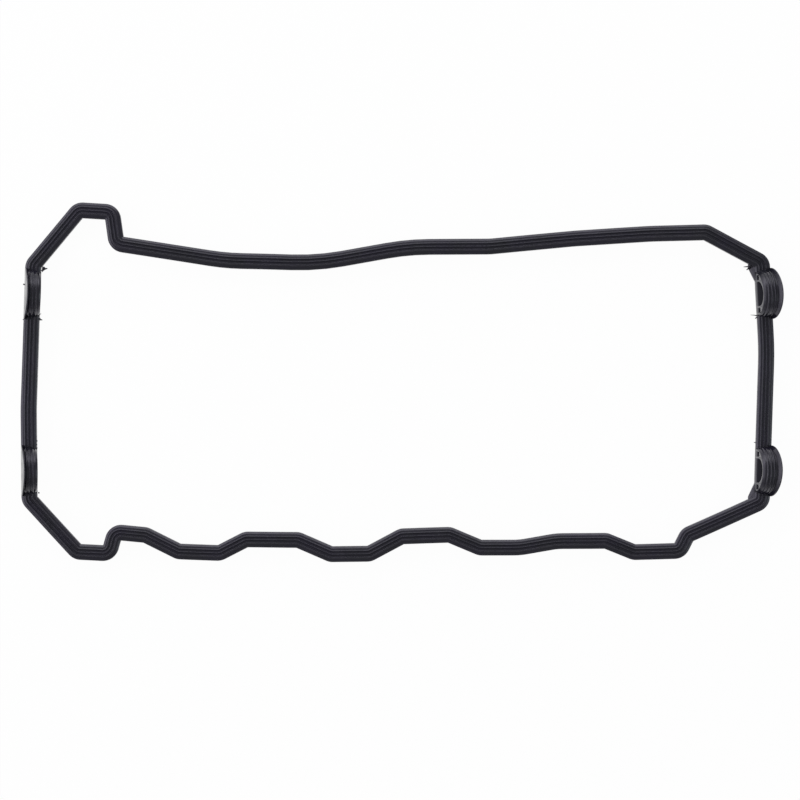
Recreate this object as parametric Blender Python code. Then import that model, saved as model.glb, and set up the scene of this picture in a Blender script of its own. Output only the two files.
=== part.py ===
"""Valve cover gasket: one moulded rubber loop with four half-moon plugs.

The loop follows the rim of a four-cylinder, twin-camshaft cylinder head.
Its wide head carries three sealing ribs, its narrow tongue sits in the
cover's groove, and four half-moons close the camshaft bores.
It lies as it comes out of the box: tongue down, sealing ribs up.
Metres, +Z up, origin at the bottom centre of the part's box.
"""

import math

import bmesh
import bpy
from mathutils import Matrix, Vector

MM = 0.001

# Bead section
HEAD_WIDTH = 9.0 * MM
TONGUE_WIDTH = 5.0 * MM
TONGUE_HEIGHT = 4.0 * MM
LAND_HEIGHT = 8.2 * MM
TONGUE_CHAMFER = 0.4 * MM
HEAD_UNDER_CHAMFER = 0.4 * MM
SHOULDER_DROP = 1.1 * MM

# Sealing ribs, with a flat margin between them and the sloping shoulders
RIB_COUNT = 3
RIB_PITCH = 1.85 * MM
RIB_HEIGHT = 0.5 * MM
RIB_BASE_WIDTH = 1.1 * MM
RIB_CREST_WIDTH = 0.5 * MM
RIB_MARGIN = 0.2 * MM
RIB_ZONE_WIDTH = (RIB_COUNT - 1) * RIB_PITCH + RIB_BASE_WIDTH
SHOULDER_WIDTH = (HEAD_WIDTH - RIB_ZONE_WIDTH) / 2 - RIB_MARGIN

# Bends of the bead's centre line; the inner radius is what is left inside the tight ones
INNER_BEND_RADIUS = 0.3 * MM
BEND_RADIUS = HEAD_WIDTH / 2 + INNER_BEND_RADIUS
WAVE_RADIUS = 150.0 * MM
KINK_RADIUS = 40.0 * MM
BOW_RADIUS = 200.0 * MM
BEND_STEP = math.radians(15.0)

# Half-moon plugs over the camshaft bores
CAM_SPACING = 102.6 * MM
HALF_MOON_RADIUS = 13.2 * MM
HALF_MOON_STEPS = 14
HALF_MOON_LEAN = math.radians(11.0)
SIDE_ROW_DROP = 0.3 * MM
STRIP_SLOPE_LIMIT = 0.1
FOOT_LINE = CAM_SPACING / 2 + HALF_MOON_RADIUS

# Thin flange on each half-moon's outboard side, which laps the end face of the head
FLANGE_LAP = 1.6 * MM
FLANGE_RADIUS = HALF_MOON_RADIUS + FLANGE_LAP
FLANGE_WIDTH = 0.8 * MM
FLANGE_CHAMFER = 0.3 * MM
FLANGE_ROOT_BELOW_LAND = 1.6 * MM
FLANGE_OVERLAP = 1.0 * MM
FLANGE_STEPS = 18

# Arched pocket and two notches in each half-moon's inboard face, with the walls left round them
POCKET_WALL = 6.3 * MM
POCKET_RADIUS = HALF_MOON_RADIUS - POCKET_WALL
POCKET_ROOF = 2.3 * MM
RECESS_FLOOR_ABOVE_LAND = 1.5 * MM
POCKET_SPRING = HALF_MOON_RADIUS - POCKET_ROOF - POCKET_RADIUS
POCKET_DEPTH = HEAD_WIDTH / 2
POCKET_STEPS = 14
NOTCH_WALL = 2.4 * MM
NOTCH_LENGTH = 2.6 * MM
NOTCH_OFFSET = HALF_MOON_RADIUS - NOTCH_WALL - NOTCH_LENGTH / 2
NOTCH_RISE = 3.2 * MM
NOTCH_DEPTH = 3.0 * MM
CUTTER_OVERRUN = 2.0 * MM

# Sloping web that fills the inner corner beside each half-moon of the right strip
WEB_LENGTH = 10.4 * MM
WEB_DEPTH = 3.4 * MM
WEB_REACH = HALF_MOON_RADIUS + 2.2 * MM
WEB_INTO_RUN = 3.4 * MM
WEB_ROOT = 0.3 * MM
WEB_OVERLAP = 1.5 * MM
WEB_INNER_DROP = 0.8 * MM
WEB_EDGE_DROP = 2.1 * MM
WEB_UNDERSIDE_RISE = 0.2 * MM

RUBBER_COLOUR = (0.018, 0.017, 0.023, 1.0)
RUBBER_ROUGHNESS = 0.4

# Corners of the centre line in millimetres, clockwise from the top left, each with its bend radius.
# X is measured from the middle. Y is measured from the middle for the two strip corners, and
# otherwise upwards from the line through the upper half-moons' outer feet or downwards from the
# line through the lower ones' outer feet.
TOP_CORNERS = (
    (-211.3, 3.7, BEND_RADIUS),
    (-184.9, 35.5, BEND_RADIUS),
    (-165.6, 34.3, BEND_RADIUS),
    (-163.0, 16.0, BEND_RADIUS),
    (-99.4, 6.2, WAVE_RADIUS),
    (-46.6, 4.8, WAVE_RADIUS),
    (6.2, 14.0, WAVE_RADIUS),
    (54.0, 14.4, KINK_RADIUS),
    (102.8, 19.0, BOW_RADIUS),
    (147.7, 21.8, BOW_RADIUS),
    (179.3, 22.6, BEND_RADIUS),
    (211.8, 5.2, BEND_RADIUS),
)
RIGHT_STRIP_CORNER = (214.6, 18.7, BOW_RADIUS)
BOTTOM_CORNERS = (
    (211.8, 4.9, BEND_RADIUS),
    (168.6, 24.2, BEND_RADIUS),
    (164.0, 33.4, BEND_RADIUS),
    (137.5, 34.2, BEND_RADIUS),
    (121.3, 27.6, BEND_RADIUS),
    (92.6, 27.8, KINK_RADIUS),
    (71.1, 31.5, KINK_RADIUS),
    (48.2, 31.5, BEND_RADIUS),
    (30.3, 24.1, BEND_RADIUS),
    (2.7, 25.0, BEND_RADIUS),
    (-16.2, 35.1, BEND_RADIUS),
    (-38.5, 35.4, BEND_RADIUS),
    (-57.6, 27.1, BEND_RADIUS),
    (-87.8, 26.8, BEND_RADIUS),
    (-103.2, 34.7, BEND_RADIUS),
    (-126.9, 33.8, BEND_RADIUS),
    (-146.1, 24.2, BEND_RADIUS),
    (-163.8, 22.5, BEND_RADIUS),
    (-167.3, 34.9, BEND_RADIUS),
    (-185.8, 34.0, BEND_RADIUS),
    (-213.6, 3.7, BEND_RADIUS),
)
LEFT_STRIP_CORNER = (-214.1, -15.0, BOW_RADIUS)


def clear_scene():
    """Remove whatever the scene holds."""
    for item in list(bpy.data.objects):
        bpy.data.objects.remove(item, do_unlink=True)


def rubber_material():
    """Near-black moulded rubber with a faint blue tint."""
    material = bpy.data.materials.new("black_rubber")
    material.use_nodes = True
    shader = material.node_tree.nodes["Principled BSDF"]
    shader.inputs["Base Color"].default_value = RUBBER_COLOUR
    shader.inputs["Roughness"].default_value = RUBBER_ROUGHNESS
    shader.inputs["Metallic"].default_value = 0.0
    return material


def rib_points():
    """Top of the section from its outer to its inner shoulder, rib by rib."""
    points = []
    middle = (RIB_COUNT - 1) / 2
    for index in range(RIB_COUNT):
        centre = (middle - index) * RIB_PITCH
        points.append((centre + RIB_BASE_WIDTH / 2, LAND_HEIGHT))
        points.append((centre + RIB_CREST_WIDTH / 2, LAND_HEIGHT + RIB_HEIGHT))
        points.append((centre - RIB_CREST_WIDTH / 2, LAND_HEIGHT + RIB_HEIGHT))
        points.append((centre - RIB_BASE_WIDTH / 2, LAND_HEIGHT))
    return points


def section_points():
    """Closed bead section as (across, up) pairs, outward side first."""
    tongue = TONGUE_WIDTH / 2
    head = HEAD_WIDTH / 2
    side_top = LAND_HEIGHT - SHOULDER_DROP
    outer_side = [
        (tongue - TONGUE_CHAMFER, 0.0),
        (tongue, TONGUE_CHAMFER),
        (tongue, TONGUE_HEIGHT),
        (head - HEAD_UNDER_CHAMFER, TONGUE_HEIGHT),
        (head, TONGUE_HEIGHT + HEAD_UNDER_CHAMFER),
        (head, side_top - SIDE_ROW_DROP),
        (head, side_top),
        (head - SHOULDER_WIDTH, LAND_HEIGHT),
    ]
    inner_side = [(-across, up) for across, up in reversed(outer_side)]
    return outer_side + rib_points() + inner_side


def loop_corners():
    """All corners of the centre line in metres, with their radii."""
    top = [(Vector((x * MM, FOOT_LINE + up * MM)), radius) for x, up, radius in TOP_CORNERS]
    bottom = [(Vector((x * MM, -FOOT_LINE - down * MM)), radius) for x, down, radius in BOTTOM_CORNERS]
    right_x, right_y, right_radius = RIGHT_STRIP_CORNER
    left_x, left_y, left_radius = LEFT_STRIP_CORNER
    right = (Vector((right_x * MM, right_y * MM)), right_radius)
    left = (Vector((left_x * MM, left_y * MM)), left_radius)
    return [*top, right, *bottom, left]


def bend_stations(before, corner, after, radius):
    """Points and outward directions along the arc that rounds one corner."""
    arriving = (corner - before).normalized()
    leaving = (after - corner).normalized()
    turn = arriving.angle_signed(leaving)
    reach = radius * math.tan(abs(turn) / 2)
    start = corner - arriving * reach
    steps = max(2, math.ceil(abs(turn) / BEND_STEP))
    side = math.copysign(1.0, turn)
    first_normal = Vector((-arriving.y, arriving.x))
    centre = start - first_normal * radius * side
    stations = []
    for index in range(steps + 1):
        angle = -turn * index / steps
        normal = first_normal.copy()
        normal.rotate(Matrix.Rotation(angle, 2))
        stations.append((centre + normal * radius * side, normal))
    return stations


def ordinary_ring(place, normal, section):
    """The section standing upright at one point of the centre line."""
    return [Vector((place.x + normal.x * across, place.y + normal.y * across, up))
            for across, up in section]


def lean(point):
    """Tip what rises above the shoulders' lower edge towards +X."""
    rise = max(0.0, point.z - LAND_HEIGHT + SHOULDER_DROP)
    return Vector((point.x + rise * math.tan(HALF_MOON_LEAN), point.y, point.z))


def half_moon_rings(centre, along, normal, section):
    """Rings over one half-moon: the head's top runs over the arch, the rest stays straight.

    The two rings at the arch's feet stay upright, as those of the strip beside them do.
    """
    straight_below = LAND_HEIGHT - SHOULDER_DROP - SIDE_ROW_DROP / 2
    rings = []
    for index in range(HALF_MOON_STEPS + 1):
        angle = math.pi * (1 - index / HALF_MOON_STEPS)
        at_foot = index in (0, HALF_MOON_STEPS)
        ring = []
        for across, up in section:
            follows_arch = up > straight_below
            reach = HALF_MOON_RADIUS + up - LAND_HEIGHT if follows_arch else HALF_MOON_RADIUS
            shift = reach * math.cos(angle)
            height = up
            if follows_arch and not at_foot:
                height = LAND_HEIGHT + reach * math.sin(angle)
            spot = centre + along * shift + normal * across
            place = Vector((spot.x, spot.y, height))
            ring.append(place if at_foot else lean(place))
        rings.append(ring)
    return rings


def half_moon_places(corners):
    """Centre, travel direction and outward normal of each half-moon, by the corner before it."""
    places = {}
    count = len(corners)
    for index, (start, _) in enumerate(corners):
        end = corners[(index + 1) % count][0]
        along = (end - start).normalized()
        if abs(along.x) > STRIP_SLOPE_LIMIT:
            continue
        low, high = sorted((start.y, end.y))
        for height in (CAM_SPACING / 2, -CAM_SPACING / 2):
            if low < height < high:
                share = (height - start.y) / (end.y - start.y)
                centre = start.lerp(end, share)
                normal = Vector((-along.y, along.x))
                places[index] = (centre, along, normal)
    return places


def all_rings(section):
    """Every ring of the loop in travel order."""
    corners = loop_corners()
    places = half_moon_places(corners)
    count = len(corners)
    rings = []
    for index, (corner, radius) in enumerate(corners):
        before = corners[index - 1][0]
        after = corners[(index + 1) % count][0]
        for place, normal in bend_stations(before, corner, after, radius):
            rings.append(ordinary_ring(place, normal, section))
        if index in places:
            rings.extend(half_moon_rings(*places[index], section))
    return rings


def ring_edges(bm, ring):
    """Edges that close one ring."""
    return [bm.edges.get((ring[index - 1], ring[index])) for index in range(len(ring))]


def extrude_ring(bm, ring, places):
    """Extrude a ring's edges and set the new ring on its places."""
    made = bmesh.ops.extrude_edge_only(bm, edges=ring_edges(bm, ring))["geom"]
    new_verts = {item for item in made if isinstance(item, bmesh.types.BMVert)}
    following = []
    for vert, place in zip(ring, places):
        twin = next(edge.other_vert(vert) for edge in vert.link_edges
                    if edge.other_vert(vert) in new_verts)
        twin.co = place
        following.append(twin)
    return following


def swept_loop(rings):
    """Closed bead swept through all the rings."""
    bm = bmesh.new()
    first = [bm.verts.new(place) for place in rings[0]]
    for index in range(len(first)):
        bm.edges.new((first[index - 1], first[index]))
    ring = first
    for places in rings[1:] + rings[:1]:
        ring = extrude_ring(bm, ring, places)
    bmesh.ops.weld_verts(bm, targetmap=dict(zip(ring, first)))
    bmesh.ops.recalc_face_normals(bm, faces=bm.faces)
    return bm


def bottom_centre(rings, places):
    """Bottom centre of the box round the bead and the flanges."""
    points = [point for ring in rings for point in ring]
    for place in places:
        bm = flange(place)
        points.extend(vert.co.copy() for vert in bm.verts)
        bm.free()
    xs = [point.x for point in points]
    ys = [point.y for point in points]
    return Vector(((min(xs) + max(xs)) / 2, (min(ys) + max(ys)) / 2, 0.0))


def add_object(name, bm, origin):
    """Turn a bmesh into an object of the scene, measured from the origin given."""
    bmesh.ops.translate(bm, verts=bm.verts, vec=-origin)
    mesh = bpy.data.meshes.new(name)
    bm.to_mesh(mesh)
    bm.free()
    item = bpy.data.objects.new(name, mesh)
    bpy.context.scene.collection.objects.link(item)
    return item


def closed_prism(rings):
    """Closed solid through rings of points, with a face over its first and last ring."""
    bm = bmesh.new()
    ring = [bm.verts.new(spot) for spot in rings[0]]
    bm.faces.new(ring)
    for spots in rings[1:]:
        ring = extrude_ring(bm, ring, spots)
    bm.faces.new(ring)
    bmesh.ops.recalc_face_normals(bm, faces=bm.faces)
    return bm


def leaned_prism(outlines, place):
    """Closed prism through outlines of (along, up) pairs, each at its distance across the bead."""
    centre, along, normal = place
    rings = []
    for across, outline in outlines:
        spots = [(centre + along * shift + normal * across, up) for shift, up in outline]
        rings.append([lean(Vector((spot.x, spot.y, up))) for spot, up in spots])
    return closed_prism(rings)


def flange_outline(radius):
    """Half disc standing on a short straight foot."""
    foot = LAND_HEIGHT - FLANGE_ROOT_BELOW_LAND
    points = [(radius, foot)]
    for index in range(FLANGE_STEPS + 1):
        angle = math.pi * index / FLANGE_STEPS
        points.append((radius * math.cos(angle), LAND_HEIGHT + radius * math.sin(angle)))
    points.append((-radius, foot))
    return points


def flange(place):
    """Outboard flange with its rim chamfered on the outer side."""
    wall = HEAD_WIDTH / 2
    return leaned_prism([
        (wall - FLANGE_OVERLAP, flange_outline(FLANGE_RADIUS)),
        (wall + FLANGE_WIDTH - FLANGE_CHAMFER, flange_outline(FLANGE_RADIUS)),
        (wall + FLANGE_WIDTH, flange_outline(FLANGE_RADIUS - FLANGE_CHAMFER)),
    ], place)


def face_cutter(outline, depth, place):
    """Prism that cuts into the inboard face from outside it."""
    wall = -HEAD_WIDTH / 2
    return leaned_prism([(wall - CUTTER_OVERRUN, outline), (wall + depth, outline)], place)


def pocket_outline():
    """Arch with a flat floor and short upright sides."""
    floor = LAND_HEIGHT + RECESS_FLOOR_ABOVE_LAND
    spring = LAND_HEIGHT + POCKET_SPRING
    points = [(POCKET_RADIUS, floor)]
    for index in range(POCKET_STEPS + 1):
        angle = math.pi * index / POCKET_STEPS
        points.append((POCKET_RADIUS * math.cos(angle), spring + POCKET_RADIUS * math.sin(angle)))
    points.append((-POCKET_RADIUS, floor))
    return points


def notch_outline(side):
    """Small rectangle beside one foot of the arch."""
    floor = LAND_HEIGHT + RECESS_FLOOR_ABOVE_LAND
    near = side * (NOTCH_OFFSET - NOTCH_LENGTH / 2)
    far = side * (NOTCH_OFFSET + NOTCH_LENGTH / 2)
    return [(near, floor), (far, floor), (far, floor + NOTCH_RISE), (near, floor + NOTCH_RISE)]


def corner_web(place):
    """Web on the inboard side of a half-moon's foot, towards the end of the strip."""
    centre, along, normal = place
    outward = along * math.copysign(1.0, along.y * centre.y)
    wall = HEAD_WIDTH / 2
    slope = (WEB_EDGE_DROP - WEB_INNER_DROP) / (WEB_OVERLAP + WEB_DEPTH)
    plan = [
        (WEB_REACH - WEB_LENGTH, -WEB_OVERLAP),
        (WEB_REACH - WEB_LENGTH, -WEB_ROOT),
        (WEB_REACH, WEB_DEPTH),
        (WEB_REACH + WEB_INTO_RUN, WEB_DEPTH),
        (WEB_REACH + WEB_INTO_RUN, -WEB_OVERLAP),
    ]
    lower = []
    upper = []
    for reach, depth in plan:
        spot = centre + outward * reach - normal * (wall + depth)
        top = LAND_HEIGHT - WEB_INNER_DROP - slope * (depth + WEB_OVERLAP)
        lower.append(Vector((spot.x, spot.y, TONGUE_HEIGHT + WEB_UNDERSIDE_RISE)))
        upper.append(Vector((spot.x, spot.y, top)))
    return closed_prism([lower, upper])


def combine(target, tool, operation):
    """Join a hidden tool to the gasket, or cut it away."""
    tool.hide_render = True
    tool.display_type = "WIRE"
    modifier = target.modifiers.new(tool.name, "BOOLEAN")
    modifier.operation = operation
    modifier.solver = "EXACT"
    modifier.object = tool


def finish_half_moon(target, number, place, origin):
    """Flange, corner web, pocket and two notches of one half-moon."""
    combine(target, add_object(f"guide_flange_{number}", flange(place), origin), "UNION")
    if place[0].x > 0.0:
        combine(target, add_object(f"guide_web_{number}", corner_web(place), origin), "UNION")
    cutters = {
        "pocket": face_cutter(pocket_outline(), POCKET_DEPTH, place),
        "notch_a": face_cutter(notch_outline(1), NOTCH_DEPTH, place),
        "notch_b": face_cutter(notch_outline(-1), NOTCH_DEPTH, place),
    }
    for label, bm in cutters.items():
        combine(target, add_object(f"cutter_{label}_{number}", bm, origin), "DIFFERENCE")


def main():
    clear_scene()
    places = half_moon_places(loop_corners()).values()
    rings = all_rings(section_points())
    origin = bottom_centre(rings, places)
    gasket = add_object("gasket", swept_loop(rings), origin)
    gasket.data.materials.append(rubber_material())
    for number, place in enumerate(places, start=1):
        finish_half_moon(gasket, number, place, origin)
    gasket.data.shade_smooth()
    gasket.data.set_sharp_from_angle(angle=math.radians(25.0))


main()
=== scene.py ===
import math

import bmesh
import bpy
from mathutils import Matrix, Vector, noise


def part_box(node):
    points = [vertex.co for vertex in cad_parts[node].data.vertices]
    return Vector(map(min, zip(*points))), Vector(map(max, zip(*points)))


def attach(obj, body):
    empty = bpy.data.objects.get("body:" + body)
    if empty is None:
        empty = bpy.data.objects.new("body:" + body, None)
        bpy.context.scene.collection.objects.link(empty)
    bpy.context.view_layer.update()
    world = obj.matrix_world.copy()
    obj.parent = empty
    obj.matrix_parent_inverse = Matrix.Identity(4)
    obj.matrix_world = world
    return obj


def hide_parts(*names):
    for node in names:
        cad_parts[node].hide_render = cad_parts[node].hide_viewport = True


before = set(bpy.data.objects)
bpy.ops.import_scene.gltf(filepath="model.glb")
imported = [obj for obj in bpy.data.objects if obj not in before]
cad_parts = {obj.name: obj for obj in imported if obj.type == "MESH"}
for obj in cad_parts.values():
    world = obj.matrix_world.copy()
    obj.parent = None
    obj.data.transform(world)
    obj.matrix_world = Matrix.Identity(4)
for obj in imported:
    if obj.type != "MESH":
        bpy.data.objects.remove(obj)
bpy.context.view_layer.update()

bl_info = {
    "name": "Valve Cover Gasket",
    "version": (1, 0, 0),
    "blender": (4, 5, 0),
    "location": "3D View > Sidebar > Gasket",
    "description": "Moulded rubber cover gasket with half-moon plugs, on a pale studio floor",
    "category": "Add Mesh",
}

NODE_LOW, NODE_HIGH = (Vector(corner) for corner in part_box("gasket"))
BODY = "root"
NODE = "gasket"
MM = 0.001

# Corners of the bead's centre line in millimetres, clockwise from the top left, with their bends.
# Y is measured from the middle for the two strip corners, and otherwise outwards from the line
# through the half-moons' outer feet.
TOP_CORNERS = (
    (-211.3, 3.7, "tight"),
    (-184.9, 35.5, "tight"),
    (-165.6, 34.3, "tight"),
    (-163.0, 16.0, "tight"),
    (-99.4, 6.2, "wave"),
    (-46.6, 4.8, "wave"),
    (6.2, 14.0, "wave"),
    (54.0, 14.4, "kink"),
    (102.8, 19.0, "bow"),
    (147.7, 21.8, "bow"),
    (179.3, 22.6, "tight"),
    (211.8, 5.2, "tight"),
)
RIGHT_STRIP_CORNER = (214.6, 18.7, "bow")
BOTTOM_CORNERS = (
    (211.8, 4.9, "tight"),
    (168.6, 24.2, "tight"),
    (164.0, 33.4, "tight"),
    (137.5, 34.2, "tight"),
    (121.3, 27.6, "tight"),
    (92.6, 27.8, "kink"),
    (71.1, 31.5, "kink"),
    (48.2, 31.5, "tight"),
    (30.3, 24.1, "tight"),
    (2.7, 25.0, "tight"),
    (-16.2, 35.1, "tight"),
    (-38.5, 35.4, "tight"),
    (-57.6, 27.1, "tight"),
    (-87.8, 26.8, "tight"),
    (-103.2, 34.7, "tight"),
    (-126.9, 33.8, "tight"),
    (-146.1, 24.2, "tight"),
    (-163.8, 22.5, "tight"),
    (-167.3, 34.9, "tight"),
    (-185.8, 34.0, "tight"),
    (-213.6, 3.7, "tight"),
)
LEFT_STRIP_CORNER = (-214.1, -15.0, "bow")
STRIP_SLOPE_LIMIT = 0.1

# Fineness of the moulded surface
BEND_STEP = math.radians(7.5)
LONGEST_GAP = 6.0 * MM
ARCH_STEPS = 44
FLANGE_STEPS = 44
POCKET_STEPS = 32
CORNER_STEPS = 3
EDGE_STEPS = 4

# Small radii, lines and offsets of the section, the flanges and the corner webs
TONGUE_EDGE_RADIUS = 0.5 * MM
TONGUE_LIP = 0.25 * MM
TONGUE_LIP_HEIGHT = 1.6 * MM
TONGUE_LIP_SPREAD = 0.45 * MM
UNDERCUT_RADIUS = 0.3 * MM
HEAD_EDGE_RADIUS = 0.45 * MM
PARTING_LINE_HEIGHT = 5.6 * MM
PARTING_LINE_PROUD = 0.06 * MM
PARTING_LINE_SPREAD = 0.12 * MM
SHOULDER_BREAK = 1.25 * MM
SHOULDER_BREAK_RADIUS = 0.8 * MM
SHOULDER_EDGE_RADIUS = 0.4 * MM
HEAD_CROWN = 0.18 * MM
RIB_FOOT_RADIUS = 0.1 * MM
RIB_CREST_RADIUS = 0.38 * MM
SIDE_ROW_DROP = 0.36 * MM
ARCH_ROW_DROP = 0.33 * MM
FLANGE_EDGE_RADIUS = 0.3 * MM
FLANGE_FOOT_PROUD = 0.15 * MM
FLANGE_CURL = 1.3 * MM
WEB_EDGE_RADIUS = 0.2 * MM
WEB_EDGE_SEGMENTS = 3
WEB_OVERLAP = 1.0 * MM
WEB_UNDERSIDE_RISE = 0.2 * MM

# Thickness of the CAD's flange, which sets how far out its box reaches
CAD_FLANGE_REACH = 0.8 * MM

# Back of the flange's lip: distance from its face and from its top, from the root to the crest
FLANGE_BACK = (
    (1.95 * MM, 2.1 * MM),
    (1.2 * MM, 1.0 * MM),
    (0.85 * MM, 0.4 * MM),
    (0.65 * MM, 0.12 * MM),
    (0.45 * MM, 0.0),
)

# Depth from the face and growth of a recess's outline: its rounded mouth, then its rounded floor
RECESS_MOUTH = (
    (-1.5 * MM, 0.3 * MM),
    (0.0, 0.3 * MM),
    (0.06 * MM, 0.15 * MM),
    (0.16 * MM, 0.05 * MM),
    (0.3 * MM, 0.0),
)
RECESS_FLOOR = (
    (-0.5 * MM, -0.1 * MM),
    (-0.15 * MM, -0.25 * MM),
    (0.0, -0.55 * MM),
)

# The soft loop lies a little unevenly
WOBBLE_SIZE = 0.12 * MM
WOBBLE_LENGTH = 32.0 * MM
WOBBLE_SEED = 5

# Torn flash at the half-moons' feet, in millimetres from the gasket's middle: where each thread
# starts, how long it is, its heading in degrees anticlockwise from +X, and its width
FLASH_THREADS = (
    (204.6, 67.3, 4.4, 183.0, 1.5),
    (203.0, 66.4, 1.6, 225.0, 1.6),
    (208.2, 38.6, 4.0, 174.0, 1.0),
    (207.9, 37.6, 1.2, 215.0, 1.7),
    (206.4, -64.6, 3.0, 200.0, 2.0),
    (207.2, -35.2, 1.0, 150.0, 1.2),
    (207.7, -42.6, 0.8, 190.0, 1.5),
    (-206.4, 66.2, 2.0, 350.0, 2.2),
    (-206.8, 65.0, 1.2, 30.0, 1.2),
    (-217.6, 36.9, 1.3, 205.0, 1.5),
    (-208.2, 36.4, 0.9, 330.0, 1.6),
    (-208.6, 39.6, 0.7, 10.0, 0.9),
    (-218.6, -36.6, 1.0, 160.0, 1.3),
    (-217.6, -66.8, 1.2, 200.0, 1.6),
)
# Place and width of each bead, in millimetres too
FLASH_BEADS = (
    (-208.4, 54.9, 1.0),
    (-218.0, 56.9, 0.9),
    (-210.4, -34.1, 0.8),
    (-210.5, -36.1, 0.7),
    (-210.4, -38.2, 0.8),
    (-209.3, -64.2, 1.0),
)
FLASH_HEIGHT = 6.2 * MM
FLASH_ROOT = 0.9 * MM
THREAD_RINGS = 8
THREAD_SIDES = 8
THREAD_BEND = 0.5 * MM
THREAD_DROOP = 0.9 * MM
THREAD_TAPER = 0.8
THREAD_FLATNESS = 0.55
THREAD_RAGGED = 0.35
THREAD_RAGGED_SCALE = 900.0
THREAD_RAGGED_STEP = 3.0
BEAD_FLATNESS = 0.7
BEAD_RAGGED = 0.3
BEAD_RAGGED_SCALE = 1400.0
BEAD_PLACE_SCALE = 700.0

# Edges sharper than these angles, in degrees, stay crisp
LOOP_SHARP_ANGLE = 32.0
FLASH_SHARP_ANGLE = 60.0

# The rubber's skin
SKIN_IOR = 1.54
SKIN_SPECULAR_TINT = (0.9, 0.88, 1.0, 1.0)
TONE_SCALE = 70.0
BUMP_STRENGTH = 0.12
BUMP_DISTANCE = 0.06 * MM
TONE_BAND = (0.35, 0.65)
GRAIN_SHARE = 0.35
FLOW_BAND = (0.3, 0.7)
FLOW_ROUGHNESS_SHIFT = (-0.05, 0.06)
PATCH_BAND = (0.45, 0.75)
SPECK_SCALE = 1900.0
SPECK_BAND = (0.55, 0.72)
SPECK_SHARE = (0.25, 1.0)
# Upward part of a face's normal: upright up to the first, flat from the second
UPRIGHT_RISE = (0.4, 0.7)

# The studio: floor, and the place, size and colour of each soft box
FLOOR_REACH = 4.0
FLOOR_COLOUR = (0.9, 0.9, 0.9, 1.0)
FLOOR_WHITE_SHARE = 0.97
LEFT_BOX = ((-1.5, 0.15, 0.64), (2.4, 1.1), (0.97, 0.95, 1.0))
FAR_BOX = ((-0.15, 1.5, 0.64), (2.4, 1.1), (1.0, 1.0, 1.0))
RIGHT_FILL = ((1.5, -0.4, 0.7), (1.0, 0.8), (0.86, 1.0, 0.95))

# The picture: its width at the bead's top, and its middle measured from the gasket's middle
IMAGE_WIDTH = 464.0 * MM
IMAGE_MIDDLE = (0.52 * MM, -10.27 * MM)
SENSOR_WIDTH = 36.0


def length_setting(name, description, default):
    """Property for a size in metres."""
    return bpy.props.FloatProperty(name=name, description=description, default=default,
                                   min=0.0, precision=5, unit="LENGTH")


class GasketSizes(bpy.types.PropertyGroup):
    """Driving sizes of the moulded loop."""

    head_width: length_setting("Head width", "Width of the ribbed head", 9.1 * MM)
    tongue_width: length_setting("Tongue width", "Width of the tongue in the cover's groove",
                                 5.0 * MM)
    tongue_height: length_setting("Tongue height", "Height of the tongue", 4.0 * MM)
    land_height: length_setting("Land height", "Height of the face between the ribs", 8.2 * MM)
    shoulder_drop: length_setting("Shoulder drop", "Fall of each shoulder to its edge", 1.1 * MM)
    rib_count: bpy.props.IntProperty(name="Ribs", description="Sealing ribs side by side",
                                     default=3, min=1)
    rib_pitch: length_setting("Rib pitch", "Distance from rib to rib", 1.85 * MM)
    rib_height: length_setting("Rib height", "Height of a rib above the land", 0.5 * MM)
    rib_base: length_setting("Rib base", "Width of a rib at its foot", 1.1 * MM)
    rib_crest: length_setting("Rib crest", "Width of a rib at its crest", 0.5 * MM)
    rib_margin: length_setting("Rib margin", "Flat left beside the outer ribs", 0.2 * MM)
    inner_bend: length_setting("Inner bend", "Radius left inside the tight bends", 0.3 * MM)
    cam_spacing: length_setting("Cam spacing", "Distance between the half-moons", 102.6 * MM)
    moon_radius: length_setting("Half-moon radius", "Radius of each ribbed arch", 13.2 * MM)
    moon_lean: bpy.props.FloatProperty(
        name="Lean", description="Lean of the half-moons as they lie",
        default=math.radians(11.0), subtype="ANGLE")
    flange_lap: length_setting("Flange lap", "Rise of the flange above the arch", 1.6 * MM)
    flange_root: length_setting("Flange root", "Depth of the flange's foot below the land",
                                1.6 * MM)
    pocket_wall: length_setting("Pocket wall", "Arch left beside the pocket", 6.3 * MM)
    pocket_roof: length_setting("Pocket roof", "Arch left over the pocket", 2.3 * MM)
    recess_floor: length_setting("Recess floor", "Height of pocket and notches above the land",
                                 1.5 * MM)
    notch_wall: length_setting("Notch wall", "Arch left beside a notch", 2.4 * MM)
    notch_length: length_setting("Notch length", "Length of a notch along the strip", 2.6 * MM)
    notch_rise: length_setting("Notch rise", "Height of a notch", 3.2 * MM)
    notch_depth: length_setting("Notch depth", "Depth of a notch", 3.0 * MM)
    web_length: length_setting("Web length", "Length of the corner web's slanting edge", 10.4 * MM)
    web_depth: length_setting("Web depth", "Reach of the corner web from the strip", 3.4 * MM)
    web_past_foot: length_setting("Web past foot", "Reach of the web beyond the arch's foot",
                                  2.2 * MM)
    web_into_run: length_setting("Web into run", "Web inside the next run of the bead", 3.4 * MM)
    web_inner_drop: length_setting("Web inner drop", "Fall of the web's top where it starts",
                                   0.7 * MM)
    web_edge_drop: length_setting("Web edge drop", "Fall of the web's top at its edge", 3.3 * MM)


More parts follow.
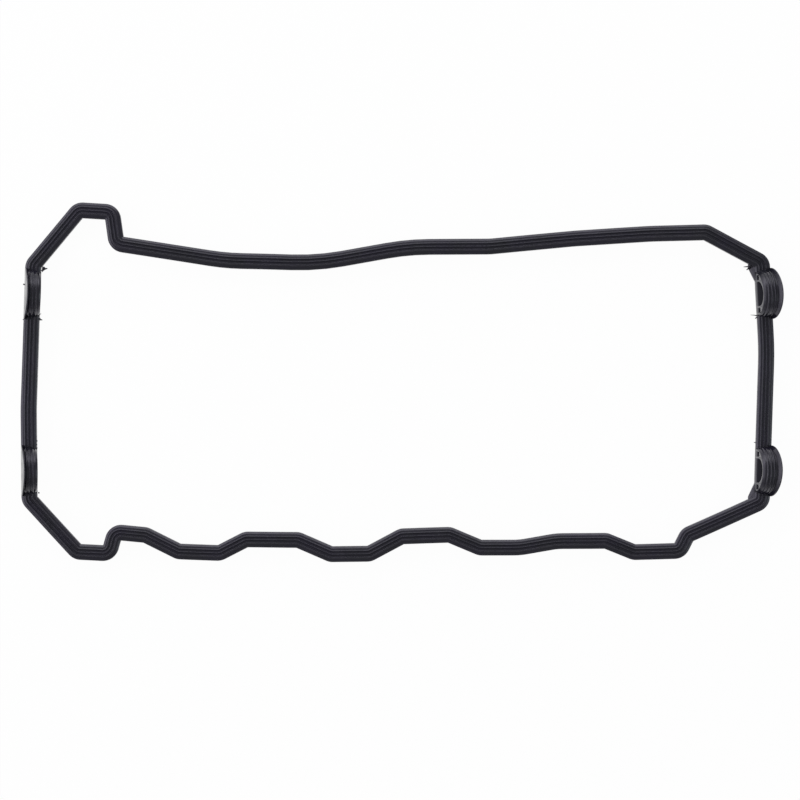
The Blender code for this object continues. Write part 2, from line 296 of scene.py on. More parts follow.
class RubberFinish(bpy.types.PropertyGroup):
    """Colour and gloss of the rubber."""

    blue_black: bpy.props.FloatVectorProperty(
        name="Blue black", description="Rubber between the ribs", subtype="COLOR",
        default=(0.0074, 0.0063, 0.0146), min=0.0, max=1.0)
    green_black: bpy.props.FloatVectorProperty(
        name="Green black", description="Rubber where the mould left it duller", subtype="COLOR",
        default=(0.0056, 0.0059, 0.0098), min=0.0, max=1.0)
    bloom_colour: bpy.props.FloatVectorProperty(
        name="Bloom", description="Pale bloom that rubber gets in store", subtype="COLOR",
        default=(0.10, 0.09, 0.12), min=0.0, max=1.0)
    bloom_share: bpy.props.FloatProperty(
        name="Bloom share", description="Strength of the bloom", default=0.12, min=0.0, max=1.0)
    roughness: bpy.props.FloatProperty(
        name="Roughness", description="Roughness of the moulded skin",
        default=0.34, min=0.0, max=1.0)
    upright_polish: bpy.props.FloatProperty(
        name="Upright polish", description="Roughness taken off the upright faces",
        default=0.15, min=0.0, max=1.0)


class StudioLight(bpy.types.PropertyGroup):
    """Light, floor and camera distance."""

    left_power: bpy.props.FloatProperty(
        name="Left box", description="Power of the soft box at the left", default=19.0, min=0.0)
    far_power: bpy.props.FloatProperty(
        name="Far box", description="Power of the soft box behind", default=19.0, min=0.0)
    fill_power: bpy.props.FloatProperty(
        name="Fill", description="Power of the weak fill at the right", default=4.0, min=0.0)
    surround: bpy.props.FloatProperty(
        name="Surround", description="Strength of the pale surround", default=0.38, min=0.0)
    camera_distance: length_setting("Camera distance", "Height of the camera above the bead", 1.37)


def shoulder_width(sizes):
    """Width of each sloping shoulder."""
    ribbed = (sizes.rib_count - 1) * sizes.rib_pitch + sizes.rib_base
    return (sizes.head_width - ribbed) / 2 - sizes.rib_margin


def rotated(vector, angle):
    """A flat vector turned by an angle."""
    turned = vector.copy()
    turned.rotate(Matrix.Rotation(angle, 2))
    return turned


def rounded_corner(before, corner, after, radius, steps):
    """Points along the arc that rounds one corner of a flat outline."""
    arriving = (corner - before).normalized()
    leaving = (after - corner).normalized()
    turn = arriving.angle_signed(leaving)
    if radius == 0.0:
        return [corner.copy()]
    start = corner - arriving * radius * math.tan(abs(turn) / 2)
    side = math.copysign(1.0, turn)
    spoke = Vector((-arriving.y, arriving.x)) * radius * side
    return [start - spoke + rotated(spoke, -turn * index / steps) for index in range(steps + 1)]


def rounded_outline(corners):
    """Closed outline of (x, y, radius) corners with each corner rounded."""
    spots = [Vector(corner[:2]) for corner in corners]
    points = []
    for index, corner in enumerate(corners):
        after = spots[(index + 1) % len(spots)]
        points.extend(rounded_corner(spots[index - 1], spots[index], after, corner[2],
                                     CORNER_STEPS))
    return points


def crowned_land(sizes, across):
    """Height of the slightly crowned land at a distance from its middle."""
    ribbed = sizes.head_width / 2 - shoulder_width(sizes)
    return sizes.land_height - HEAD_CROWN * (across / ribbed) ** 2


def outer_side(sizes):
    """Corners of the section's outward side, from the tongue's foot up to the shoulder's top."""
    tongue = sizes.tongue_width / 2
    head = sizes.head_width / 2
    side_top = sizes.land_height - sizes.shoulder_drop
    ribbed = head - shoulder_width(sizes)
    return [
        (tongue, 0.0, TONGUE_EDGE_RADIUS),
        (tongue, TONGUE_LIP_HEIGHT - TONGUE_LIP_SPREAD, 0.0),
        (tongue + TONGUE_LIP, TONGUE_LIP_HEIGHT, TONGUE_LIP / 2),
        (tongue, TONGUE_LIP_HEIGHT + TONGUE_LIP_SPREAD, 0.0),
        (tongue, sizes.tongue_height, UNDERCUT_RADIUS),
        (head, sizes.tongue_height, HEAD_EDGE_RADIUS),
        (head, PARTING_LINE_HEIGHT - PARTING_LINE_SPREAD, 0.0),
        (head + PARTING_LINE_PROUD, PARTING_LINE_HEIGHT, 0.0),
        (head, PARTING_LINE_HEIGHT + PARTING_LINE_SPREAD, 0.0),
        (head, side_top - SIDE_ROW_DROP, 0.0),
        (head, side_top, SHOULDER_EDGE_RADIUS),
        (head - SHOULDER_BREAK, crowned_land(sizes, head - SHOULDER_BREAK), SHOULDER_BREAK_RADIUS),
        (ribbed, crowned_land(sizes, ribbed), 0.0),
    ]


def rib_corners(sizes):
    """Corners of the ribs, from the outermost to the innermost."""
    middle = (sizes.rib_count - 1) / 2
    corners = []
    for index in range(sizes.rib_count):
        centre = (middle - index) * sizes.rib_pitch
        land = crowned_land(sizes, centre)
        crest = land + sizes.rib_height
        corners.append((centre + sizes.rib_base / 2, land, RIB_FOOT_RADIUS))
        corners.append((centre + sizes.rib_crest / 2, crest, RIB_CREST_RADIUS))
        corners.append((centre - sizes.rib_crest / 2, crest, RIB_CREST_RADIUS))
        corners.append((centre - sizes.rib_base / 2, land, RIB_FOOT_RADIUS))
    return corners


def bead_section(sizes):
    """Closed section of the bead as (across, up) pairs."""
    outward = outer_side(sizes)
    inward = [(-across, up, radius) for across, up, radius in reversed(outward)]
    return [tuple(point) for point in rounded_outline(outward + rib_corners(sizes) + inward)]


def loop_corners(sizes):
    """All corners of the centre line in metres, with their bend radii."""
    bends = {"tight": sizes.head_width / 2 + sizes.inner_bend,
             "wave": 150.0 * MM, "kink": 40.0 * MM, "bow": 200.0 * MM}
    foot_line = sizes.cam_spacing / 2 + sizes.moon_radius
    top = [(x * MM, foot_line + out * MM, bend) for x, out, bend in TOP_CORNERS]
    bottom = [(x * MM, -foot_line - out * MM, bend) for x, out, bend in BOTTOM_CORNERS]
    strips = [(x * MM, y * MM, bend) for x, y, bend in (RIGHT_STRIP_CORNER, LEFT_STRIP_CORNER)]
    corners = top + strips[:1] + bottom + strips[1:]
    return [(Vector((x, y)), bends[bend]) for x, y, bend in corners]


def half_moon_places(sizes):
    """Centre, travel direction and outward normal of each half-moon, by the corner before it."""
    corners = loop_corners(sizes)
    places = {}
    for index, (start, _) in enumerate(corners):
        end = corners[(index + 1) % len(corners)][0]
        along = (end - start).normalized()
        if abs(along.x) > STRIP_SLOPE_LIMIT:
            continue
        low, high = sorted((start.y, end.y))
        for height in (sizes.cam_spacing / 2, -sizes.cam_spacing / 2):
            if low < height < high:
                centre = start.lerp(end, (height - start.y) / (end.y - start.y))
                places[index] = (centre, along, Vector((-along.y, along.x)))
    return places


def lean(sizes, point, curl=0.0):
    """Tip what rises above the shoulders' lower edge towards +X, and curl thin rubber further."""
    rise = max(0.0, point.z - sizes.land_height + sizes.shoulder_drop)
    full = sizes.moon_radius + sizes.flange_lap + sizes.shoulder_drop
    further = curl * FLANGE_CURL * (rise / full) ** 2
    return Vector((point.x + rise * math.tan(sizes.moon_lean) + further, point.y, point.z))


def upright_ring(place, normal, section):
    """The section standing at one point of the centre line."""
    return [Vector((place.x + normal.x * across, place.y + normal.y * across, up))
            for across, up in section]


def arch_rings(sizes, place, section):
    """Rings over one half-moon: the head's top runs over the arch, the rest stays straight."""
    centre, along, normal = place
    straight_below = sizes.land_height - sizes.shoulder_drop - ARCH_ROW_DROP
    shoulder = shoulder_width(sizes)
    ribbed = sizes.head_width / 2 - shoulder
    rings = []
    for index in range(ARCH_STEPS + 1):
        angle = math.pi * (1 - index / ARCH_STEPS)
        at_foot = index in (0, ARCH_STEPS)
        ring = []
        for across, up in section:
            on_arch = up > straight_below
            reach = sizes.moon_radius + up - sizes.land_height if on_arch else sizes.moon_radius
            height = up
            if on_arch and not at_foot:
                height = sizes.land_height + reach * math.sin(angle)
            flat = centre + along * reach * math.cos(angle) + normal * across
            spot = Vector((flat.x, flat.y, height))
            curl = max(0.0, across - ribbed) / shoulder
            ring.append(spot if at_foot else lean(sizes, spot, curl))
        rings.append(ring)
    return rings


def path_stations(sizes):
    """Rounded path of the bead: each entry is a place with its normal, or a half-moon."""
    corners = loop_corners(sizes)
    moons = half_moon_places(sizes)
    stations = []
    for index, (corner, radius) in enumerate(corners):
        before = corners[index - 1][0]
        after = corners[(index + 1) % len(corners)][0]
        arriving = (corner - before).normalized()
        turn = arriving.angle_signed((after - corner).normalized())
        steps = max(3, math.ceil(abs(turn) / BEND_STEP))
        normal = Vector((-arriving.y, arriving.x))
        points = rounded_corner(before, corner, after, radius, steps)
        for count, point in enumerate(points):
            stations.append((point, rotated(normal, -turn * count / steps)))
        if index in moons:
            stations.append(moons[index])
    return stations


def station_rings(sizes, section):
    """Every ring of the loop in travel order, with long straights cut into short lengths."""
    stations = path_stations(sizes)
    rings = []
    for index, station in enumerate(stations):
        following = stations[(index + 1) % len(stations)]
        if len(station) == 3:
            rings.extend(arch_rings(sizes, station, section))
            continue
        place, normal = station
        rings.append(upright_ring(place, normal, section))
        if len(following) == 3:
            continue
        pieces = math.ceil((following[0] - place).length / LONGEST_GAP)
        for count in range(1, pieces):
            between = place.lerp(following[0], count / pieces)
            rings.append(upright_ring(between, normal, section))
    return rings


def ring_edges(bm, ring):
    """Edges that close one ring."""
    return [bm.edges.get((ring[index - 1], ring[index])) for index in range(len(ring))]


def closed_ring(bm, places):
    """New ring of vertices joined by edges."""
    ring = [bm.verts.new(place) for place in places]
    for index in range(len(ring)):
        bm.edges.new((ring[index - 1], ring[index]))
    return ring


def extrude_ring(bm, ring, places):
    """Extrude a ring's edges and set the new ring on its places."""
    made = bmesh.ops.extrude_edge_only(bm, edges=ring_edges(bm, ring))["geom"]
    new_verts = {item for item in made if isinstance(item, bmesh.types.BMVert)}
    following = []
    for vert, place in zip(ring, places):
        twin = next(edge.other_vert(vert) for edge in vert.link_edges
                    if edge.other_vert(vert) in new_verts)
        twin.co = place
        following.append(twin)
    return following


def sweep_loop(bm, rings):
    """Closed bead swept through all the rings."""
    first = closed_ring(bm, rings[0])
    ring = first
    for places in rings[1:] + rings[:1]:
        ring = extrude_ring(bm, ring, places)
    bmesh.ops.weld_verts(bm, targetmap=dict(zip(ring, first)))


def sweep_solid(bm, rings):
    """Solid swept through rings and closed at both ends."""
    ring = closed_ring(bm, rings[0])
    bm.faces.new(ring)
    for places in rings[1:]:
        ring = extrude_ring(bm, ring, places)
    bm.faces.new(ring)


def leaned_outline(sizes, place, across, outline, curl=0.0):
    """An outline of (along, up) pairs set in a half-moon's plane."""
    centre, along, normal = place
    spots = []
    for shift, up in outline:
        spot = centre + along * shift + normal * across
        spots.append(lean(sizes, Vector((spot.x, spot.y, up)), curl))
    return spots


def arched_outline(half_width, floor, spring, steps):
    """Arch of (along, up) pairs with a flat floor and upright sides."""
    points = [(half_width, floor)]
    for index in range(steps + 1):
        angle = math.pi * index / steps
        points.append((half_width * math.cos(angle), spring + half_width * math.sin(angle)))
    return points + [(-half_width, floor)]


def add_flange(bm, sizes, place):
    """Outboard flange of one half-moon: a thin lip with a rounded edge that curls with the lean."""
    face = sizes.head_width / 2 + FLANGE_FOOT_PROUD
    radius = sizes.moon_radius + sizes.flange_lap
    foot = sizes.land_height - sizes.flange_root
    profile = [(face - back, inset) for back, inset in FLANGE_BACK]
    for step in range(EDGE_STEPS + 1):
        angle = math.pi / 2 * step / EDGE_STEPS
        inset = FLANGE_EDGE_RADIUS * (1 - math.cos(angle))
        profile.append((face - FLANGE_EDGE_RADIUS * (1 - math.sin(angle)), inset))
    rings = []
    for across, inset in profile:
        outline = arched_outline(radius - inset, foot, sizes.land_height, FLANGE_STEPS)
        rings.append(leaned_outline(sizes, place, across, outline, 1.0))
    sweep_solid(bm, rings)


def add_corner_web(bm, sizes, place):
    """Sloping web in the inner corner between a half-moon's foot and the next run."""
    centre, along, normal = place
    outward = along * math.copysign(1.0, along.y * centre.y)
    wall = sizes.head_width / 2
    reach = sizes.moon_radius + sizes.web_past_foot
    slope = (sizes.web_edge_drop - sizes.web_inner_drop) / (WEB_OVERLAP + sizes.web_depth)
    plan = [
        (reach - sizes.web_length, -WEB_OVERLAP),
        (reach, sizes.web_depth),
        (reach + sizes.web_into_run, sizes.web_depth),
        (reach + sizes.web_into_run, -WEB_OVERLAP),
    ]
    lower = []
    upper = []
    for shift, depth in plan:
        spot = centre + outward * shift - normal * (wall + depth)
        top = sizes.land_height - sizes.web_inner_drop - slope * (depth + WEB_OVERLAP)
        lower.append(Vector((spot.x, spot.y, sizes.tongue_height + WEB_UNDERSIDE_RISE)))
        upper.append(Vector((spot.x, spot.y, top)))
    web = bmesh.new()
    sweep_solid(web, [lower, upper])
    bmesh.ops.recalc_face_normals(web, faces=web.faces)
    bmesh.ops.bevel(web, geom=web.edges[:], offset=WEB_EDGE_RADIUS, affect="EDGES",
                    segments=WEB_EDGE_SEGMENTS, profile=0.5, material=-1)
    scratch = bpy.data.meshes.new("web")
    web.to_mesh(scratch)
    web.free()
    bm.from_mesh(scratch)
    bpy.data.meshes.remove(scratch)


def pocket_outline(sizes, grow):
    """Outline of the pocket, larger by grow all round."""
    half_width = sizes.moon_radius - sizes.pocket_wall
    spring = sizes.land_height + sizes.moon_radius - sizes.pocket_roof - half_width
    floor = sizes.land_height + sizes.recess_floor
    return arched_outline(half_width + grow, floor - grow, spring, POCKET_STEPS)


def notch_outline(sizes, side, grow):
    """Small rectangle beside one foot of the arch, larger by grow all round."""
    floor = sizes.land_height + sizes.recess_floor
    far = sizes.moon_radius - sizes.notch_wall
    near = far - sizes.notch_length
    top = floor + sizes.notch_rise + grow
    return [(side * (near - grow), floor - grow), (side * (far + grow), floor - grow),
            (side * (far + grow), top), (side * (near - grow), top)]


def add_recess(bm, sizes, place, outline_of, depth):
    """Cutter that leaves a recess with a rounded mouth and a rounded floor."""
    wall = -sizes.head_width / 2
    profile = [(wall + into, grow) for into, grow in RECESS_MOUTH]
    profile += [(wall + depth + into, grow) for into, grow in RECESS_FLOOR]
    rings = [leaned_outline(sizes, place, across, outline_of(grow)) for across, grow in profile]
    sweep_solid(bm, rings)


def new_object(name, bm):
    """Object of the scene from a bmesh, with its faces turned outwards."""
    bmesh.ops.recalc_face_normals(bm, faces=bm.faces)
    mesh = bpy.data.meshes.new(name)
    bm.to_mesh(mesh)
    bm.free()
    item = bpy.data.objects.new(name, mesh)
    bpy.context.scene.collection.objects.link(item)
    return item


def combine(target, tool, operation):
    """Join a tool to the target, or cut it away, and remove the tool."""
    before = len(target.data.vertices)
    modifier = target.modifiers.new(operation.lower(), "BOOLEAN")
    modifier.operation = operation
    modifier.solver = "EXACT"
    modifier.object = tool
    evaluated = target.evaluated_get(bpy.context.evaluated_depsgraph_get())
    mesh = bpy.data.meshes.new_from_object(evaluated)
    target.modifiers.clear()
    target.data = mesh
    bpy.data.objects.remove(tool, do_unlink=True)
    if len(mesh.vertices) < before:
        raise RuntimeError(f"{operation} lost part of {target.name}")


def seat_shift(sizes):
    """Move that sets the loop's box on the CAD node's box."""
    points = [point for ring in station_rings(sizes, bead_section(sizes)) for point in ring]
    face = sizes.head_width / 2 + CAD_FLANGE_REACH
    radius = sizes.moon_radius + sizes.flange_lap - FLANGE_EDGE_RADIUS
    outline = arched_outline(radius, sizes.land_height, sizes.land_height, FLANGE_STEPS)
    for place in half_moon_places(sizes).values():
        points.extend(leaned_outline(sizes, place, face, outline))
    centre = [(min(point[axis] for point in points) + max(point[axis] for point in points)) / 2
              for axis in range(2)]
    target = (NODE_LOW + NODE_HIGH) / 2
    return Vector((target.x - centre[0], target.y - centre[1], NODE_LOW.z))


def settle(point):
    """Small sideways drift of the soft rubber where it lies."""
    drift = noise.noise_vector(Vector((point.x, point.y, 0.0)) / WOBBLE_LENGTH)
    return Vector((point.x + drift.x * WOBBLE_SIZE, point.y + drift.y * WOBBLE_SIZE, point.z))


def dress(item, material, angle):
    """Material, smooth shading with the sharper edges kept, and body."""
    item.data.materials.clear()
    item.data.materials.append(material)
    item.data.shade_smooth()
    item.data.set_sharp_from_angle(angle=math.radians(angle))
    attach(item, BODY)


def add_flash_thread(bm, start, length, heading, width):
    """Torn thread of flash: a tapering strand that droops and bends a little."""
    direction = Vector((math.cos(heading), math.sin(heading), 0.0))
    side = Vector((-direction.y, direction.x, 0.0))
    rings = []
    for index in range(THREAD_RINGS):
        share = index / (THREAD_RINGS - 1)
        travel = share * (length + FLASH_ROOT) - FLASH_ROOT
        drift = Vector((share * THREAD_RAGGED_STEP, 0.0, 0.0))
        ragged = noise.noise(start * THREAD_RAGGED_SCALE + drift)
        centre = start + direction * travel + side * ragged * THREAD_BEND * share
        centre.z -= THREAD_DROOP * share * share
        radius = width / 2 * (1.0 - THREAD_TAPER * share) * (1.0 + THREAD_RAGGED * ragged)
        ring = []
        for count in range(THREAD_SIDES):
            angle = 2 * math.pi * count / THREAD_SIDES
            ring.append(centre + side * radius * math.cos(angle)
                        + Vector((0.0, 0.0, THREAD_FLATNESS * radius * math.sin(angle))))
        rings.append(ring)
    sweep_solid(bm, rings)


def add_flash_bead(bm, centre, width):
    """Torn bead of flash: a squashed, slightly ragged ball."""
    made = bmesh.ops.create_icosphere(bm, subdivisions=3, radius=width / 2)["verts"]
    for vert in made:
        place = vert.co * BEAD_RAGGED_SCALE + centre * BEAD_PLACE_SCALE
        ragged = 1.0 + BEAD_RAGGED * noise.noise(place)
        vert.co = centre + Vector((vert.co.x * ragged, vert.co.y * ragged,
                                   vert.co.z * BEAD_FLATNESS * ragged))


def group_with(name, inputs, outputs):
    """New shader node group with named inputs and outputs."""
    group = bpy.data.node_groups.new(name, "ShaderNodeTree")
    for label, kind, value in inputs:
        socket = group.interface.new_socket(label, in_out="INPUT", socket_type=kind)
        socket.default_value = value
    for label, kind in outputs:
        group.interface.new_socket(label, in_out="OUTPUT", socket_type=kind)
    return group, group.nodes.new("NodeGroupInput"), group.nodes.new("NodeGroupOutput")


def noise_node(tree, coordinates, scale, detail):
    """Noise texture on the given coordinates; scale is a number or a socket."""
    node = tree.nodes.new("ShaderNodeTexNoise")
    node.inputs["Detail"].default_value = detail
    tree.links.new(coordinates, node.inputs["Vector"])
    if isinstance(scale, (int, float)):
        node.inputs["Scale"].default_value = scale
    else:
        tree.links.new(scale, node.inputs["Scale"])
    return node.outputs["Fac"]


def range_node(tree, value, low, high, to_low, to_high):
    """Map Range node with a smooth step."""
    node = tree.nodes.new("ShaderNodeMapRange")
    node.interpolation_type = "SMOOTHSTEP"
    tree.links.new(value, node.inputs["Value"])
    for label, number in (("From Min", low), ("From Max", high),
                          ("To Min", to_low), ("To Max", to_high)):
        node.inputs[label].default_value = number
    return node.outputs["Result"]


def maths_node(tree, operation, first, second):
    """Math node; second is a number or a socket."""
    node = tree.nodes.new("ShaderNodeMath")
    node.operation = operation
    tree.links.new(first, node.inputs[0])
    if isinstance(second, (int, float)):
        node.inputs[1].default_value = second
    else:
        tree.links.new(second, node.inputs[1])
    return node.outputs["Value"]


def mixed_colour(tree, share, first, second):
    """Colour mix of two sockets by a share socket."""
    node = tree.nodes.new("ShaderNodeMix")
    node.data_type = "RGBA"
    tree.links.new(share, node.inputs[0])
    tree.links.new(first, node.inputs[6])
    tree.links.new(second, node.inputs[7])
    return node.outputs[2]


def mottled_tone_group():
    """Slow drift between two tones of the same rubber."""
    group, source, sink = group_with(
        "mottled_tone",
        [("Vector", "NodeSocketVector", (0.0, 0.0, 0.0)),
         ("First Tone", "NodeSocketColor", (0.0, 0.0, 0.0, 1.0)),
         ("Second Tone", "NodeSocketColor", (0.0, 0.0, 0.0, 1.0)),
         ("Scale", "NodeSocketFloat", 60.0)],
        [("Color", "NodeSocketColor")])
    drift = noise_node(group, source.outputs["Vector"], source.outputs["Scale"], 4.0)
    share = range_node(group, drift, *TONE_BAND, 0.0, 1.0)
    colour = mixed_colour(group, share, source.outputs["First Tone"], source.outputs["Second Tone"])
    group.links.new(colour, sink.inputs["Color"])
    return group


def mould_grain_group():
    """Fine grain and flow marks that the mould leaves: a height and a roughness shift."""
    group, source, sink = group_with(
        "mould_grain",
        [("Vector", "NodeSocketVector", (0.0, 0.0, 0.0)),
         ("Grain Scale", "NodeSocketFloat", 2600.0),
         ("Flow Scale", "NodeSocketFloat", 240.0)],
        [("Height", "NodeSocketFloat"), ("Roughness Shift", "NodeSocketFloat")])
    vector = source.outputs["Vector"]
    grain = noise_node(group, vector, source.outputs["Grain Scale"], 3.0)
    flow = noise_node(group, vector, source.outputs["Flow Scale"], 5.0)
    height = maths_node(group, "ADD", maths_node(group, "MULTIPLY", grain, GRAIN_SHARE), flow)
    shift = range_node(group, flow, *FLOW_BAND, *FLOW_ROUGHNESS_SHIFT)
    group.links.new(height, sink.inputs["Height"])
    group.links.new(shift, sink.inputs["Roughness Shift"])
    return group


def store_bloom_group():
    """Mask of the pale bloom: patches broken up by fine specks."""
    group, source, sink = group_with(
        "store_bloom",
        [("Vector", "NodeSocketVector", (0.0, 0.0, 0.0)),
         ("Patch Scale", "NodeSocketFloat", 130.0),
         ("Share", "NodeSocketFloat", 0.2)],
        [("Mask", "NodeSocketFloat")])
    vector = source.outputs["Vector"]
    patches = noise_node(group, vector, source.outputs["Patch Scale"], 6.0)
    patches = range_node(group, patches, *PATCH_BAND, 0.0, 1.0)
    specks = noise_node(group, vector, SPECK_SCALE, 2.0)
    specks = range_node(group, specks, *SPECK_BAND, *SPECK_SHARE)
    mask = maths_node(group, "MULTIPLY", patches, specks)
    mask = maths_node(group, "MULTIPLY", mask, source.outputs["Share"])
    group.links.new(mask, sink.inputs["Mask"])
    return group


def place_group(tree, group, coordinates, **values):
    """Group node in a material, on the object's coordinates, with its own values."""
    node = tree.nodes.new("ShaderNodeGroup")
    node.node_tree = group
    tree.links.new(coordinates, node.inputs["Vector"])
    for label, value in values.items():
        node.inputs[label.replace("_", " ").title()].default_value = value
    return node


def rubber_material(finish):
    """Satin black rubber with grain, a drifting tone, a little bloom and glossier upright faces."""
    name = "moulded_rubber"
    if name in bpy.data.materials:
        return bpy.data.materials[name]
    material = bpy.data.materials.new(name)
    material.use_nodes = True
    tree = material.node_tree
    shader = tree.nodes["Principled BSDF"]
    shader.inputs["Metallic"].default_value = 0.0
    shader.inputs["IOR"].default_value = SKIN_IOR
    shader.inputs["Specular Tint"].default_value = SKIN_SPECULAR_TINT
    coordinates = tree.nodes.new("ShaderNodeTexCoord").outputs
    place = coordinates["Object"]
    tone = place_group(tree, mottled_tone_group(), place, scale=TONE_SCALE,
                       first_tone=(*finish.blue_black, 1.0), second_tone=(*finish.green_black, 1.0))
    grain = place_group(tree, mould_grain_group(), place)
    bloom = place_group(tree, store_bloom_group(), place, share=finish.bloom_share)
    pale = tree.nodes.new("ShaderNodeRGB")
    pale.outputs[0].default_value = (*finish.bloom_colour, 1.0)
    colour = mixed_colour(tree, bloom.outputs["Mask"], tone.outputs["Color"], pale.outputs[0])
    tree.links.new(colour, shader.inputs["Base Color"])
    roughness = maths_node(tree, "ADD", grain.outputs["Roughness Shift"], finish.roughness)
    direction = tree.nodes.new("ShaderNodeSeparateXYZ")
    tree.links.new(coordinates["Normal"], direction.inputs["Vector"])
    upward = maths_node(tree, "ABSOLUTE", direction.outputs["Z"], 0.0)
    polish = range_node(tree, upward, *UPRIGHT_RISE, finish.upright_polish, 0.0)
    roughness = maths_node(tree, "SUBTRACT", roughness, polish)
    tree.links.new(roughness, shader.inputs["Roughness"])
    bump = tree.nodes.new("ShaderNodeBump")
    bump.inputs["Strength"].default_value = BUMP_STRENGTH
    bump.inputs["Distance"].default_value = BUMP_DISTANCE
    tree.links.new(grain.outputs["Height"], bump.inputs["Height"])
    tree.links.new(bump.outputs["Normal"], shader.inputs["Normal"])
    return material


def white_to_camera(tree, lit_shader, white_share):
    """Mix a lit shader with plain white for what the camera, gloss and glass see."""
    path = tree.nodes.new("ShaderNodeLightPath").outputs
    seen = maths_node(tree, "ADD", path["Is Camera Ray"], path["Is Glossy Ray"])
    seen = maths_node(tree, "ADD", seen, path["Is Transmission Ray"])
    share = maths_node(tree, "MULTIPLY", seen, white_share)
    white = tree.nodes.new("ShaderNodeEmission")
    white.inputs["Color"].default_value = (1.0, 1.0, 1.0, 1.0)
    white.inputs["Strength"].default_value = 1.0
    mix = tree.nodes.new("ShaderNodeMixShader")
    tree.links.new(share, mix.inputs[0])
    tree.links.new(lit_shader, mix.inputs[1])
    tree.links.new(white.outputs[0], mix.inputs[2])
    return mix.outputs[0]


def floor_material():
    """White floor that keeps a faint shadow."""
    material = bpy.data.materials.new("studio_floor")
    material.use_nodes = True
    tree = material.node_tree
    tree.nodes.remove(tree.nodes["Principled BSDF"])
    lit = tree.nodes.new("ShaderNodeBsdfDiffuse")
    lit.inputs["Color"].default_value = FLOOR_COLOUR
    surface = white_to_camera(tree, lit.outputs[0], FLOOR_WHITE_SHARE)
    tree.links.new(surface, tree.nodes["Material Output"].inputs["Surface"])
    return material


def pale_world(strength):
    """Even, pale surround."""
    world = bpy.data.worlds.new("studio_surround")
    world.use_nodes = True
    lit = world.node_tree.nodes["Background"]
    lit.inputs["Color"].default_value = (1.0, 1.0, 1.0, 1.0)
    lit.inputs["Strength"].default_value = strength
    bpy.context.scene.world = world


def add_soft_box(name, position, size, colour, power):
    """Area light turned to the gasket's middle."""
    light = bpy.data.lights.new(name, "AREA")
    light.shape = "RECTANGLE"
    light.size = size[0]
    light.size_y = size[1]
    light.energy = power
    light.color = colour
    item = bpy.data.objects.new(name, light)
    item.location = position
    item.rotation_euler = (-Vector(position)).to_track_quat("-Z", "Y").to_euler()
    bpy.context.scene.collection.objects.link(item)


def add_camera(sizes, distance):
    """Camera straight above the middle of the picture."""
    camera = bpy.data.cameras.new("studio_camera")
    camera.sensor_width = SENSOR_WIDTH
    camera.lens = SENSOR_WIDTH * distance / IMAGE_WIDTH
    camera.clip_end = 100.0
    item = bpy.data.objects.new("studio_camera", camera)
    item.location = (*IMAGE_MIDDLE, sizes.land_height + distance)
    bpy.context.scene.collection.objects.link(item)
    bpy.context.scene.camera = item


class GASKET_OT_mould_loop(bpy.types.Operator):
    """Mould the bead and its four half-moons"""

    bl_idname = "gasket.mould_loop"
    bl_label = "Mould Loop"

    def execute(self, context):
        sizes = context.scene.gasket_sizes
        bead = bmesh.new()
        sweep_loop(bead, station_rings(sizes, bead_section(sizes)))
        bmesh.ops.triangulate(bead, faces=bead.faces)
        loop = new_object("gasket_loop", bead)
        additions = bmesh.new()
        recesses = bmesh.new()
        for place in half_moon_places(sizes).values():
            add_flange(additions, sizes, place)
            if place[0].x > 0.0:
                add_corner_web(additions, sizes, place)
            add_recess(recesses, sizes, place, lambda grow: pocket_outline(sizes, grow),
                       sizes.head_width / 2)
            for side in (1, -1):
                add_recess(recesses, sizes, place, lambda grow: notch_outline(sizes, side, grow),
                           sizes.notch_depth)
        combine(loop, new_object("flanges_and_webs", additions), "UNION")
        combine(loop, new_object("recesses", recesses), "DIFFERENCE")
        shift = seat_shift(sizes)
        noise.seed_set(WOBBLE_SEED)
        for vertex in loop.data.vertices:
            vertex.co = settle(vertex.co + shift)
        dress(loop, rubber_material(context.scene.rubber_finish), LOOP_SHARP_ANGLE)
        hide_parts(NODE)
        return {"FINISHED"}


class GASKET_OT_add_flash(bpy.types.Operator):
    """Add the torn flash at the half-moons' feet"""

    bl_idname = "gasket.add_flash"
    bl_label = "Add Flash"

    def execute(self, context):
        bm = bmesh.new()
        noise.seed_set(WOBBLE_SEED)
        for x, y, length, heading, width in FLASH_THREADS:
            start = settle(Vector((x * MM, y * MM, FLASH_HEIGHT)))
            add_flash_thread(bm, start, length * MM, math.radians(heading), width * MM)
        for x, y, width in FLASH_BEADS:
            add_flash_bead(bm, settle(Vector((x * MM, y * MM, FLASH_HEIGHT))), width * MM)
        flash = new_object("gasket_flash", bm)
        dress(flash, rubber_material(context.scene.rubber_finish), FLASH_SHARP_ANGLE)
        return {"FINISHED"}


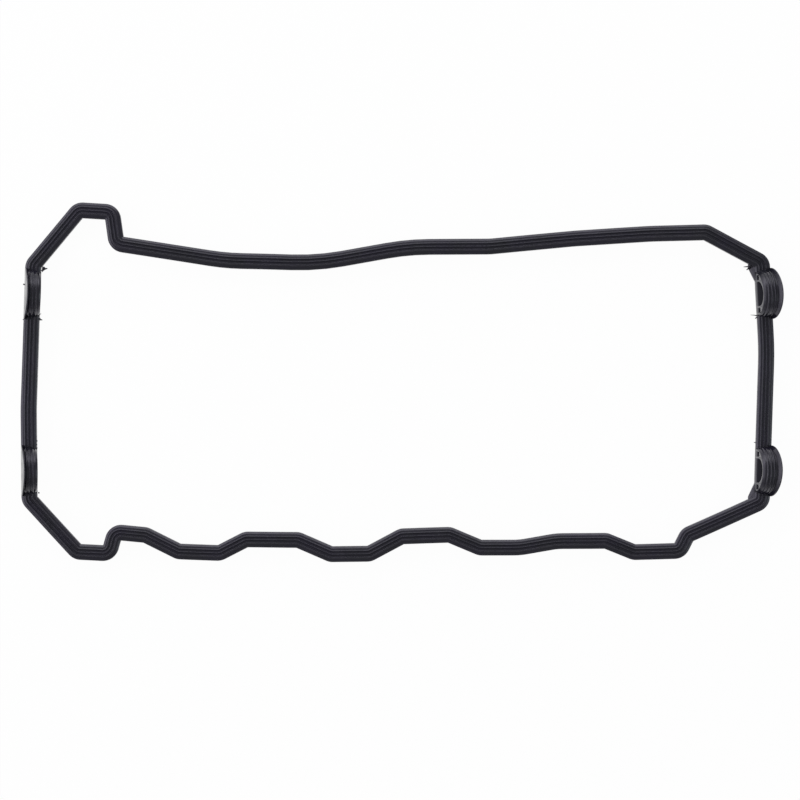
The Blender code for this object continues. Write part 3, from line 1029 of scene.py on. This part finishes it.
class GASKET_OT_build_studio(bpy.types.Operator):
    """Lay the floor, hang the soft boxes and set the camera"""

    bl_idname = "gasket.build_studio"
    bl_label = "Build Studio"

    def execute(self, context):
        light = context.scene.studio_light
        bm = bmesh.new()
        bmesh.ops.create_grid(bm, x_segments=1, y_segments=1, size=FLOOR_REACH)
        floor = new_object("studio_floor", bm)
        floor.data.materials.append(floor_material())
        pale_world(light.surround)
        add_soft_box("left_box", *LEFT_BOX, light.left_power)
        add_soft_box("far_box", *FAR_BOX, light.far_power)
        add_soft_box("right_fill", *RIGHT_FILL, light.fill_power)
        add_camera(context.scene.gasket_sizes, light.camera_distance)
        context.scene.view_settings.view_transform = "Standard"
        return {"FINISHED"}


class GASKET_PT_panel(bpy.types.Panel):
    """Sidebar panel with the gasket's steps and settings"""

    bl_label = "Valve Cover Gasket"
    bl_idname = "GASKET_PT_panel"
    bl_space_type = "VIEW_3D"
    bl_region_type = "UI"
    bl_category = "Gasket"

    def draw(self, context):
        layout = self.layout
        layout.operator(GASKET_OT_mould_loop.bl_idname)
        layout.operator(GASKET_OT_add_flash.bl_idname)
        layout.operator(GASKET_OT_build_studio.bl_idname)
        for settings in (context.scene.gasket_sizes, context.scene.rubber_finish,
                         context.scene.studio_light):
            column = layout.column(align=True)
            for name in type(settings).__annotations__:
                column.prop(settings, name)


CLASSES = (
    GasketSizes,
    RubberFinish,
    StudioLight,
    GASKET_OT_mould_loop,
    GASKET_OT_add_flash,
    GASKET_OT_build_studio,
    GASKET_PT_panel,
)


def register():
    """Register the classes and attach the settings to the scene."""
    for item in CLASSES:
        bpy.utils.register_class(item)
    bpy.types.Scene.gasket_sizes = bpy.props.PointerProperty(type=GasketSizes)
    bpy.types.Scene.rubber_finish = bpy.props.PointerProperty(type=RubberFinish)
    bpy.types.Scene.studio_light = bpy.props.PointerProperty(type=StudioLight)


def unregister():
    """Detach the settings and unregister the classes."""
    del bpy.types.Scene.studio_light
    del bpy.types.Scene.rubber_finish
    del bpy.types.Scene.gasket_sizes
    for item in reversed(CLASSES):
        bpy.utils.unregister_class(item)


def main():
    """Build the gasket and its studio."""
    register()
    bpy.ops.gasket.mould_loop()
    bpy.ops.gasket.add_flash()
    bpy.ops.gasket.build_studio()


if __name__ == "__main__":
    main()
